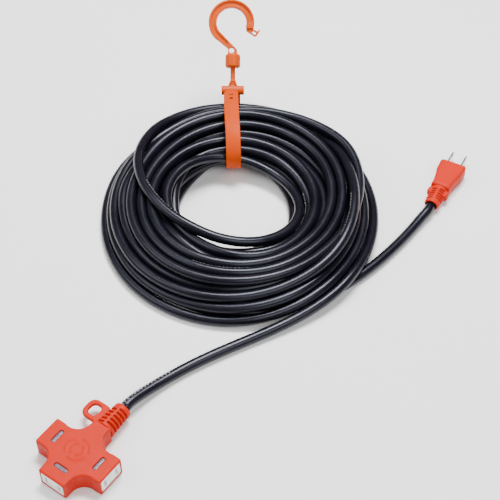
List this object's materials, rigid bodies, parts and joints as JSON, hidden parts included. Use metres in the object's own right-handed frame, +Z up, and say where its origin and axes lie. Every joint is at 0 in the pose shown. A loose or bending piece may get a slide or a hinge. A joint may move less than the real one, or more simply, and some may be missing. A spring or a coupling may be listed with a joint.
{
  "type": "extension cord",
  "caption": "Coiled round extension cord with a cross-shaped multi-outlet tap, a flat two-blade plug and a strap with a swivel hanging hook.",
  "frame": {"origin": "centre of the tap's underside, on the surface that the cord set lies on", "axes": "+Z up; +X and +Y lie in the surface, with the coil on the +Y side of the tap and the hanging hook pointing along +Y and up"},
  "size_m": [0.3623, 0.4688, 0.1055],
  "materials": {
    "orange_moulding": "soft PVC moulding, fine matt grain",
    "band_orange": "flexible nylon, satin",
    "cord_jacket": "smooth flexible PVC jacket, soft gloss",
    "outlet_white": "hard white moulding",
    "lens": "frosted translucent plastic window",
    "blade_metal": "nickel-plated blades",
    "contact_brass": "stamped brass",
    "carrier_plastic": "insulating moulding",
    "core_white": "conductor insulation",
    "core_black": "conductor insulation",
    "pilot_lamp": "small lamp"
  },
  "bodies": {
    "hook": {"hook": "band_orange"},
    "cord_set": {"tap_body": "orange_moulding", "tap_boot": "orange_moulding", "plug_body": "orange_moulding", "plug_boot": "orange_moulding", "strap": "band_orange", "buckle": "band_orange", "cord_to_tap": "cord_jacket", "cord_coil": "cord_jacket", "cord_to_plug": "cord_jacket", "tap_jacket_end": "cord_jacket", "plug_jacket_end": "cord_jacket", "outlet_face_left": "outlet_white", "live_contact_left": "contact_brass", "neutral_contact_left": "contact_brass", "window_lens_left": "lens", "pilot_lamp_left": "pilot_lamp", "outlet_face_right": "outlet_white", "live_contact_right": "contact_brass", "neutral_contact_right": "contact_brass", "window_lens_right": "lens", "pilot_lamp_right": "pilot_lamp", "outlet_face_front": "outlet_white", "live_contact_front": "contact_brass", "neutral_contact_front": "contact_brass", "window_lens_front": "lens", "pilot_lamp_front": "pilot_lamp", "contact_carrier": "carrier_plastic", "carrier_cover": "carrier_plastic", "plug_bridge": "carrier_plastic", "live_bus_bar": "contact_brass", "neutral_bus_bar": "contact_brass", "tap_live_crimp": "contact_brass", "tap_neutral_crimp": "contact_brass", "tap_live_core": "core_black", "tap_neutral_core": "core_white", "plug_blade_live": "blade_metal", "plug_blade_neutral": "blade_metal", "plug_live_crimp": "contact_brass", "plug_neutral_crimp": "contact_brass", "plug_live_core": "core_black", "plug_neutral_core": "core_white"}
  },
  "joints": [
    {"name": "hook_swivel", "type": "hinge", "parent": "cord_set", "child": "hook", "pos_m": [0.1115, 0.3727, 0.047], "axis": [0, 0.7431, 0.6691], "continuous": true}
  ]
}
